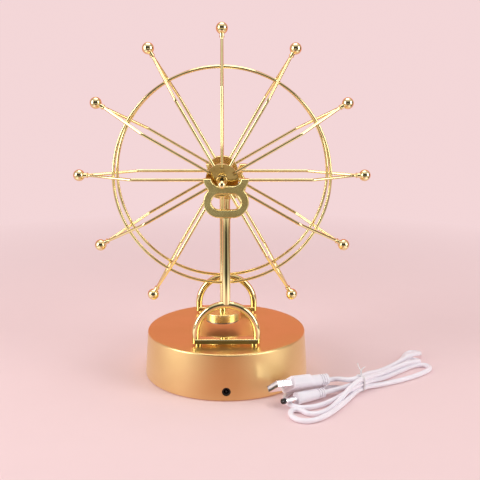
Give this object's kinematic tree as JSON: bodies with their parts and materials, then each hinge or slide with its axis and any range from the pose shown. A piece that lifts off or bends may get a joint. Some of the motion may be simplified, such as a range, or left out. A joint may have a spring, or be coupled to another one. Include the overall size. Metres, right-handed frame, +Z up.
{
  "type": "kinetic ferris wheel desk toy",
  "caption": "Desk toy: a spoked wheel with ball tips and a magnetic pendulum turns in two open cradles over a drum base with a drive coil.",
  "frame": {"origin": "below the middle of the axle, on the surface that the rubber feet stand on; the centre of the base is 2.75 mm to the right", "axes": "+Z up, +X to the right of the front view, the power socket and the front stand face -Y, the axle lies along Y"},
  "size_m": [0.254, 0.1493, 0.2442],
  "materials": {
    "bright_gold": "bright gold plating",
    "satin_gold": "satin gold lacquer over moulded ABS",
    "black_abs": "fine textured",
    "copper_wire": "enamelled copper winding",
    "board": "green solder mask",
    "nickel": "nickel plated",
    "magnet_nickel": "dark nickel",
    "foot_rubber": "matt",
    "screw_steel": "zinc plated",
    "white_insulator": "smooth",
    "cable_white": "soft PVC",
    "tie_clear": "clear coated wire"
  },
  "bodies": {
    "root": {"base_housing": "satin_gold", "bottom_cover": "black_abs", "coil_bobbin": "black_abs", "coil_winding": "copper_wire", "control_board": "board", "dc_socket": "black_abs", "battery_contacts": "nickel", "rubber_feet": "foot_rubber", "cover_screws": "screw_steel", "front_arch": "bright_gold", "rear_arch": "bright_gold", "front_post": "bright_gold", "rear_post": "bright_gold", "front_yoke": "bright_gold", "rear_yoke": "bright_gold", "stand_screws": "screw_steel", "usb_shell": "nickel", "usb_tongue": "white_insulator", "usb_overmold": "cable_white", "dc_barrel": "nickel", "dc_grip": "cable_white", "usb_tail": "cable_white", "dc_tail": "cable_white", "lead_loop": "cable_white", "cable_hank": "cable_white", "cable_tie": "tie_clear"},
    "battery_door": {"battery_door": "black_abs"},
    "wheel": {"axle": "bright_gold", "axle_knobs": "bright_gold", "front_hub_disc": "bright_gold", "rear_hub_disc": "bright_gold", "hub_sleeve": "bright_gold", "front_rim": "bright_gold", "rear_rim": "bright_gold", "front_arm_wire_01": "bright_gold", "front_arm_wire_02": "bright_gold", "front_arm_wire_03": "bright_gold", "front_arm_wire_04": "bright_gold", "front_arm_wire_05": "bright_gold", "front_arm_wire_06": "bright_gold", "front_arm_wire_07": "bright_gold", "front_arm_wire_08": "bright_gold", "front_arm_wire_09": "bright_gold", "front_arm_wire_10": "bright_gold", "front_arm_wire_11": "bright_gold", "rear_arm_wire_01": "bright_gold", "rear_arm_wire_02": "bright_gold", "rear_arm_wire_03": "bright_gold", "rear_arm_wire_04": "bright_gold", "rear_arm_wire_05": "bright_gold", "rear_arm_wire_06": "bright_gold", "rear_arm_wire_07": "bright_gold", "rear_arm_wire_08": "bright_gold", "rear_arm_wire_09": "bright_gold", "rear_arm_wire_10": "bright_gold", "rear_arm_wire_11": "bright_gold", "tip_balls": "bright_gold", "pendulum_rod": "bright_gold", "magnet_cup": "bright_gold", "bob_magnet": "magnet_nickel"}
  },
  "joints": [
    {"name": "wheel_spin", "type": "hinge", "parent": "root", "child": "wheel", "pos_m": [0, 0, 0.14185], "axis": [0, 1, 0], "continuous": true},
    {"name": "door_slide", "type": "slide", "parent": "root", "child": "battery_door", "axis": [0, 1, 0], "range_m": [0, 0.006]}
  ]
}
